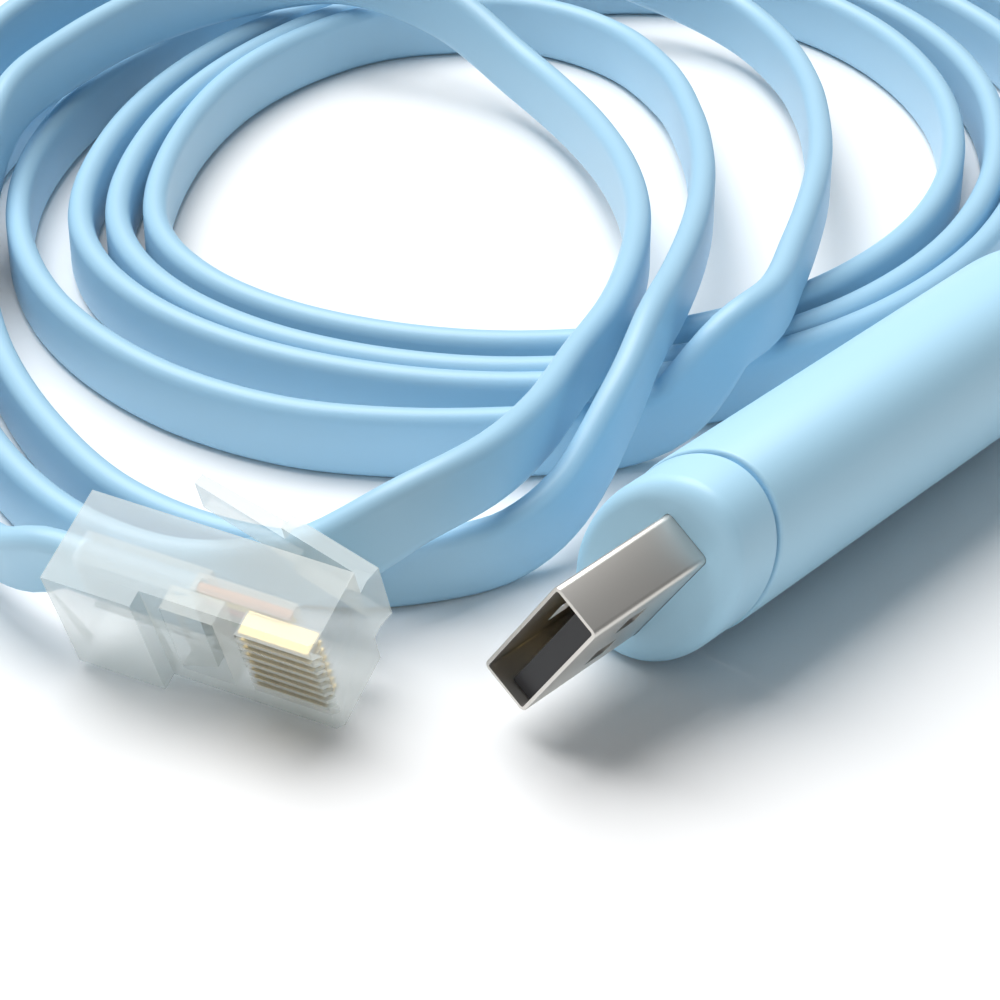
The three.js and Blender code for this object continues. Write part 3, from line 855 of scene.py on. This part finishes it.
def dress_node(name: str, finish: Finish) -> bpy.types.Object:
    """Gives a CAD node that keeps its shape its finish.

    Args:
        name: The node's name.
        finish: What it is made of.

    Returns:
        The node.
    """
    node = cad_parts[name]
    node.data.materials.clear()
    node.data.materials.append(finish.material())
    return node


def sweep(name: str, stations: Sequence[Station], section: Sequence[Point]) -> bpy.types.Object:
    """Makes a closed tube from a grid that is rolled round a line.

    Args:
        name: The piece's name.
        stations: The places along it.
        section: The outline's points, across the thickness and across the width, in millimetres.

    Returns:
        The tube, with its distance along and around in its UV map, in metres.
    """
    rings, around = len(stations) - 1, len(section)
    bm = bmesh.new()
    layer = bm.loops.layers.uv.new("along")
    bmesh.ops.create_grid(bm, x_segments=rings, y_segments=around, size=1.0)
    spots = {
        vert: (round((vert.co.x + 1) / 2 * rings), round((vert.co.y + 1) / 2 * around)) for vert in bm.verts
    }
    outline = sum(math.dist(section[i - 1], section[i]) for i in range(around)) * MM
    step = (stations[1].point - stations[0].point).length
    for face in bm.faces:
        for loop in face.loops:
            ring, edge = spots[loop.vert]
            loop[layer].uv = (ring * step, edge / around * outline)
    for vert, (ring, edge) in spots.items():
        station, (across, along_width) = stations[ring], section[edge % around]
        vert.co = station.point + station.side * across * MM + station.up * along_width * MM
    bmesh.ops.remove_doubles(bm, verts=bm.verts, dist=MERGE)
    bmesh.ops.holes_fill(bm, edges=[edge for edge in bm.edges if edge.is_boundary], sides=0)
    bmesh.ops.recalc_face_normals(bm, faces=bm.faces)
    return as_piece(name, bm)


# The pieces


@dataclass
class FlatCable:
    """The flat cable, from inside the USB connector to inside the plug."""

    route: list[Vector] = field(default_factory=list)

    def section(self) -> list[Point]:
        """Gives the jacket's outline: flat faces and nearly round edges."""
        radius = CABLE.thickness / 2
        middle = CABLE.width / 2 - radius
        points = []
        for side in (1, -1):
            for i in range(CABLE.edge_facets + 1):
                angle = math.pi * i / CABLE.edge_facets
                points.append((side * radius * math.cos(angle), side * (middle + radius * math.sin(angle))))
        return points

    def line(self) -> SmoothLine:
        """Joins the two loose loops and the neat turns in one line."""
        start = [
            USB.axis @ Vector(((USB.relief_back + reach) * MM, 0.0, 0.0))
            for reach in (CABLE.seat, 0.0, -CABLE.seat)
        ]
        rows = [*LOOP_FROM_USB, *neat_turns(), *LOOP_TO_PLUG]
        middle = [PLAN.place(x, y, lift + CABLE.width / 2) for x, y, lift, _ in rows]
        basis = PLUG.basis()
        stop = PLUG.jacket_room - PLUG.jacket_short
        end = [basis @ Vector((x * MM, 0.0, 0.0)) for x in (-CABLE.seat / 2, 0.0, stop)]
        lean = 90 + PLUG.roll
        leans = [90 - USB.roll] * len(start) + [row[3] for row in rows] + [lean] * len(end)
        return SmoothLine([*start, *middle, *end], leans, CABLE.width / 2 * MM)

    def build(self) -> bpy.types.Object:
        """Makes the cable and keeps its route.

        Returns:
            The dressed cable.
        """
        stations = self.line().stations(CABLE.step * MM)
        self.route = [station.point for station in stations]
        cable = sweep("flat_cable", stations, self.section())
        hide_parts("cable_usb_lead", "cable_coil", "cable_plug_lead")
        return dress(cable, CABLE_PVC, 60.0)

    def length(self) -> float:
        """Adds up the route's length in metres."""
        return sum((b - a).length for a, b in zip(self.route, self.route[1:]))

    def declare(self) -> None:
        """Logs the cable's length.
        """
        LOG.info("cable length %.3f m", self.length())
        round(self.length(), 3)


@dataclass
class UsbConnector:
    """The USB connector: cap, grip with strain relief, metal shell, insulator and contacts."""

    fit: float = 0.04  # millimetres round what is moulded in
    shoulder_steps: int = 12

    def cap(self) -> bpy.types.Object:
        """Makes the cap ring, with the pocket that holds the shell."""
        rim = arc((-USB.cap_fillet, USB.cap_radius - USB.cap_fillet), USB.cap_fillet, 0, 90, 10)
        back, off = -USB.cap_length, USB.seam_chamfer
        seam = [(back + off, USB.cap_radius), (back, USB.cap_radius - off)]
        profile = [(0.0, 0.0), *rim, *seam, (back, 0.0)]
        cap = as_piece("usb_cap", turned(profile, USB.oval), USB.rolled)
        half = (USB.shell_width / 2 + self.fit, USB.shell_height / 2 + self.fit)
        pocket = block((-USB.shell_seated - self.fit, -half[0], -half[1]), (OVERRUN, half[0], half[1]))
        soften(pocket, [e for e in pocket.edges if self._lengthwise(e)], USB.shell_corner + self.fit, 4)
        combine(cap, [as_piece("pocket", pocket, USB.rolled)], "DIFFERENCE")
        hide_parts("housing_cap")
        return dress(cap, HOUSING_PVC)

    @staticmethod
    def _lengthwise(edge: bmesh.types.BMEdge) -> bool:
        """Says whether an edge runs along X."""
        along = edge.verts[1].co - edge.verts[0].co
        return abs(along.x) > 0.9 * along.length

    def grip(self) -> bpy.types.Object:
        """Makes the long grip, its shoulder and the strain relief."""
        lip = arc((USB.body_front - USB.lip, USB.radius - USB.lip), USB.lip, 0, 90, 4)
        drop = USB.radius - USB.relief_radius
        shoulder = [
            (USB.body_back - USB.shoulder * math.sin(a), USB.relief_radius + drop * math.cos(a))
            for a in (math.pi / 2 * i / self.shoulder_steps for i in range(self.shoulder_steps + 1))
        ]
        back, fillet = USB.relief_back, USB.relief_fillet
        end = arc((back + fillet, USB.relief_end_radius - fillet), fillet, 90, 180, 5)
        profile = [(USB.body_front, 0.0), *lip, *shoulder, *end, (back, 0.0)]
        grip = as_piece("usb_grip", turned(profile, USB.oval), USB.rolled)
        half = (CABLE.width / 2 + self.fit, CABLE.thickness / 2 + self.fit)
        seat = block((back - OVERRUN, -half[0], -half[1]), (back + CABLE.seat + self.fit, half[0], half[1]))
        combine(grip, [as_piece("seat", seat, USB.rolled)], "DIFFERENCE")
        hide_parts("housing_body")
        return dress(grip, HOUSING_PVC)

    def shell(self) -> bpy.types.Object:
        """Makes the folded metal shell, with its square holes and the joint where its sheet meets."""
        half, wall = (USB.shell_width / 2, USB.shell_height / 2), USB.shell_wall
        outside = block((-USB.shell_seated, -half[0], -half[1]), (USB.shell_shown, half[0], half[1]))
        soften(outside, [e for e in outside.edges if self._lengthwise(e)], USB.shell_corner, 5)
        mouth = [e for e in outside.edges if all(v.co.x > (USB.shell_shown - NEAR) * MM for v in e.verts)]
        soften(outside, mouth, USB.mouth_rounding, 2)
        inside = block(
            (wall - USB.shell_seated, wall - half[0], wall - half[1]),
            (USB.shell_shown + OVERRUN, half[0] - wall, half[1] - wall),
        )
        soften(inside, [e for e in inside.edges if self._lengthwise(e)], USB.shell_corner - wall, 3)
        shell = as_piece("usb_metal_shell", outside, USB.rolled)
        combine(shell, [as_piece("bore", inside, USB.rolled)], "DIFFERENCE")
        tools = []
        for side in (-1, 1):
            middle, reach = side * USB.hole_spread / 2, USB.hole / 2
            along = USB.shell_shown - USB.hole_from_tip
            hole = block(
                (along - reach, middle - reach, -USB.shell_height),
                (along + reach, middle + reach, USB.shell_height),
            )
            upright = [e for e in hole.edges if abs(e.verts[0].co.z - e.verts[1].co.z) > MM]
            soften(hole, upright, USB.hole_corner, 3)
            tools.append(as_piece("hole", hole, USB.rolled))
        joint = block(
            (-USB.shell_seated - OVERRUN, -USB.joint_gap / 2, half[1] - USB.joint_depth),
            (USB.shell_shown + OVERRUN, USB.joint_gap / 2, half[1] + JOINT_OVERRUN),
        )
        tools.append(as_piece("joint", joint, USB.rolled))
        combine(shell, tools, "DIFFERENCE")
        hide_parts("usb_shell")
        return dress(shell, SHELL_METAL)

    def build(self) -> list[bpy.types.Object]:
        """Makes the connector's pieces.

        Returns:
            All of them.
        """
        made = [self.cap(), self.grip(), self.shell(), dress_node("usb_insulator", INSULATOR)]
        return made + [dress_node(f"usb_contact_{i}", GOLD) for i in range(1, 5)]


@dataclass
class ModularPlug:
    """The clear RJ45 plug, its gold blades and the eight wires in it."""

    count: int = 8

    def _cut(self, low: Sequence[float], high: Sequence[float]) -> bpy.types.Object:
        """Makes a cutting box in the plug's frame.

        Args:
            low: Its low corner in millimetres.
            high: Its high corner.

        Returns:
            The box.
        """
        return as_piece("cut", block(low, high), PLUG.basis())

    def body(self) -> bpy.types.Object:
        """Makes the one-piece clear body with its rooms, slots, clamp bar and latch."""
        half = PLUG.width / 2
        front = block((0.0, -half, PLUG.floor), (PLUG.length, half, PLUG.top))
        nose = [
            e for e in front.edges
            if all(v.co.x > (PLUG.length - NEAR) * MM and v.co.z < 0 for v in e.verts)
        ]
        soften(front, nose, PLUG.chamfer, 1)
        plug = as_piece("clear_plug_body", front, PLUG.basis())
        rear = self._cut((0.0, -half, PLUG.top - PLUG.rear_tall), (PLUG.rear_length, half, 0.0))
        combine(plug, [rear], "UNION")
        combine(plug, self.rooms(), "DIFFERENCE")
        combine(plug, [self.clamp(), *self.latch()], "UNION")
        round_edges(plug, PLUG.edge_rounding, 3)
        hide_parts("rj45_body")
        return dress(plug, CLEAR, 30.0)

    def rooms(self) -> list[bpy.types.Object]:
        """Makes what is cut from the body: rooms for the jacket and wires, the window and the blade slots."""
        fit = PLUG.fit
        wide, tall = CABLE.width / 2 + PLUG.jacket_fit, CABLE.thickness / 2 + PLUG.jacket_fit
        cuts = [self._cut((-OVERRUN, -wide, -tall), (PLUG.jacket_room, wide, tall))]
        reach = self.count * PLUG.wire_pitch / 2 + fit
        height, end = PLUG.wire_height, PLUG.length - PLUG.wire_room_front
        room = PLUG.wire_room_tall / 2
        begin = PLUG.jacket_room - PLUG.wire_room_overlap
        cuts.append(self._cut((begin, -reach, height - room), (end, reach, height + room)))
        start, across = PLUG.window_from_rear, PLUG.window_width / 2
        cuts.append(self._cut(
            (start, -across, PLUG.floor - OVERRUN),
            (start + PLUG.window_length, across, -tall + PLUG.window_overlap),
        ))
        blade_front = PLUG.length - PLUG.blade_from_nose
        blade_high = PLUG.floor + PLUG.blade_sunk + PLUG.blade_tall
        for middle in self.middles(PLUG.wire_pitch):
            side = PLUG.blade_thick / 2 + fit
            cuts.append(self._cut(
                (blade_front - PLUG.blade_length - fit, middle - side, PLUG.floor - SLOT_OVERRUN),
                (PLUG.length + SLOT_OVERRUN, middle + side, PLUG.floor + PLUG.blade_sunk + PLUG.slot_above),
            ))
            cuts.append(self._cut(
                (blade_front - PLUG.blade_length - fit, middle - side, PLUG.floor - BLADE_OVERRUN),
                (blade_front + fit, middle + side, blade_high + fit),
            ))
        return cuts

    def clamp(self) -> bpy.types.Object:
        """Makes the bar that is pressed in on the jacket, hinged on the window's rear edge."""
        start, thick = PLUG.window_from_rear, PLUG.clamp_thick
        across = PLUG.window_width / 2 - PLUG.clamp_side_gap
        bar = block(
            (start - PLUG.clamp_root, -across, PLUG.floor),
            (start + PLUG.clamp_length, across, PLUG.floor + thick),
        )
        pressed = [v for v in bar.verts if v.co.x > (start + PLUG.clamp_length / 2) * MM]
        depth = -CABLE.thickness / 2 - PLUG.floor - (thick + PLUG.clamp_short)
        bmesh.ops.translate(bar, vec=(0, 0, depth * MM), verts=pressed)
        return as_piece("clamp", bar, PLUG.basis())

    def latch(self) -> list[bpy.types.Object]:
        """Makes the springy latch: its wide root, its narrow tab and the bend at the nose."""
        rise = Matrix.Rotation(math.radians(PLUG.latch_rise), 4, "Y")
        hinge = Vector((PLUG.length, 0.0, PLUG.top + PLUG.latch_gap)) * MM
        place = PLUG.basis() @ Matrix.Translation(hinge) @ rise
        root, tab = PLUG.latch_root / 2, PLUG.latch_tab / 2
        wide = block((-PLUG.latch_shoulder, -root, 0.0), (0.0, root, PLUG.latch_thick))
        join = PLUG.latch_overlap - PLUG.latch_shoulder
        narrow = block((-PLUG.latch_length, -tab, 0.0), (join, tab, PLUG.latch_thick))
        thin = [v for v in narrow.verts if v.co.x < -PLUG.latch_shoulder * MM and v.co.z > 0]
        bmesh.ops.translate(narrow, vec=(0, 0, -PLUG.latch_tip_thinned * MM), verts=thin)
        heel = block(
            (PLUG.length - PLUG.latch_thick, -root, PLUG.top - PLUG.latch_overlap),
            (PLUG.length, root, PLUG.top + PLUG.latch_gap + PLUG.latch_thick / 2),
        )
        return [
            as_piece("wide", wide, place), as_piece("narrow", narrow, place),
            as_piece("heel", heel, PLUG.basis()),
        ]

    def middles(self, pitch: float) -> list[float]:
        """Gives the places of the blades or wires, side by side.

        Args:
            pitch: Their spacing in millimetres.

        Returns:
            Their distances from the plug's middle.
        """
        return [(i - (self.count - 1) / 2) * pitch for i in range(self.count)]

    def wires(self) -> list[bpy.types.Object]:
        """Makes the eight wires, which fan out from the jacket to the blades."""
        basis, made = PLUG.basis(), []
        leave = PLUG.jacket_room
        end = PLUG.length - PLUG.wire_room_front - PLUG.clearance
        pairs = zip(self.middles(PLUG.core_pitch), self.middles(PLUG.wire_pitch))
        steps = PLUG.wire_facets - 1
        circle = arc((0.0, 0.0), PLUG.wire_radius, 0, 360 * steps / PLUG.wire_facets, steps)
        for i, (inside, outside) in enumerate(pairs):
            spots = [
                (leave - PLUG.wire_back, inside, 0.0), (leave, inside, 0.0),
                (leave + PLUG.wire_fan, outside, PLUG.wire_height), (end, outside, PLUG.wire_height),
            ]
            line = SmoothLine([basis @ (Vector(spot) * MM) for spot in spots], [0.0] * len(spots))
            wire = sweep(f"core_{i + 1}", line.stations(PLUG.wire_step * MM), circle)
            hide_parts(f"wire_{i + 1}")
            made.append(dress(wire, WIRES[i], 60.0))
        return made

    def build(self) -> list[bpy.types.Object]:
        """Makes the plug's pieces.

        Returns:
            All of them.
        """
        blades = [dress_node(f"rj45_contact_{i}", GOLD) for i in range(1, self.count + 1)]
        return [self.body(), *blades, *self.wires()]


# Floor, light and camera


@dataclass
class Studio:
    """A plain white floor, soft light from above, and the camera at the photograph's angle."""

    distance: float = 244.0  # millimetres from the point that the camera looks at
    elevation: float = 33.0
    lens: float = 108.0
    sensor: float = 36.0
    light_aim: Point = (0.0, 40.0)  # the coil's middle in the plan
    floor_half: float = 3.0  # metres
    floor_tone: Colour = (0.93, 0.93, 0.93)
    room_tone: Colour = (0.95, 0.98, 1.0)
    room_strength: float = 0.16

    def camera(self) -> None:
        """Makes the camera."""
        data = bpy.data.cameras.new("camera")
        data.lens, data.sensor_width, data.clip_start, data.clip_end = self.lens, self.sensor, 0.01, 20.0
        camera = bpy.data.objects.new("camera", data)
        bpy.context.scene.collection.objects.link(camera)
        angle = math.radians(self.elevation)
        eye = PLAN.place(0.0, -self.distance * math.cos(angle), self.distance * math.sin(angle))
        aim = PLAN.place(0.0, 0.0)
        camera.location = eye
        camera.rotation_euler = (aim - eye).to_track_quat("-Z", "Y").to_euler()
        bpy.context.scene.camera = camera

    def floor(self) -> None:
        """Makes the floor."""
        bm = bmesh.new()
        bmesh.ops.create_grid(bm, x_segments=1, y_segments=1, size=self.floor_half)
        floor = as_piece("floor", bm)
        paint = bpy.data.materials.new("floor_white")
        paint.use_nodes = True
        shader = paint.node_tree.nodes["Principled BSDF"]
        shader.inputs["Base Color"].default_value = (*self.floor_tone, 1.0)
        shader.inputs["Roughness"].default_value = 0.9
        floor.data.materials.append(paint)

    def light(self, name: str, plan: Sequence[float], size: float, power: float) -> None:
        """Makes one soft light that points at the object.

        Args:
            name: Its name.
            plan: Its place in the plan, in millimetres.
            size: Its side in metres.
            power: Its power in watts.
        """
        data = bpy.data.lights.new(name, "AREA")
        data.shape, data.size, data.energy = "SQUARE", size, power
        lamp = bpy.data.objects.new(name, data)
        bpy.context.scene.collection.objects.link(lamp)
        lamp.location = PLAN.place(*plan)
        aim = PLAN.place(*self.light_aim)
        lamp.rotation_euler = (aim - lamp.location).to_track_quat("-Z", "Y").to_euler()

    def build(self) -> None:
        """Makes the whole studio."""
        self.camera()
        self.floor()
        self.light("softbox", (-350.0, 450.0, 1300.0), size=1.3, power=28.5)
        self.light("fill", (-700.0, -900.0, 900.0), size=1.4, power=2.0)
        world = bpy.data.worlds.new("room")
        world.use_nodes = True
        back = world.node_tree.nodes["Background"]
        back.inputs["Color"].default_value = (*self.room_tone, 1.0)
        back.inputs["Strength"].default_value = self.room_strength
        bpy.context.scene.world = world
        bpy.context.scene.view_settings.view_transform = "Standard"


def main() -> None:
    """Builds the scene, piece by piece."""
    logging.basicConfig(level=logging.INFO, format="%(name)s: %(message)s")
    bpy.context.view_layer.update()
    Studio().build()
    cable = FlatCable()
    strand = cable.build()
    UsbConnector().build()
    plug = ModularPlug().build()
    cable.declare()


if __name__ == "__main__":
    main()
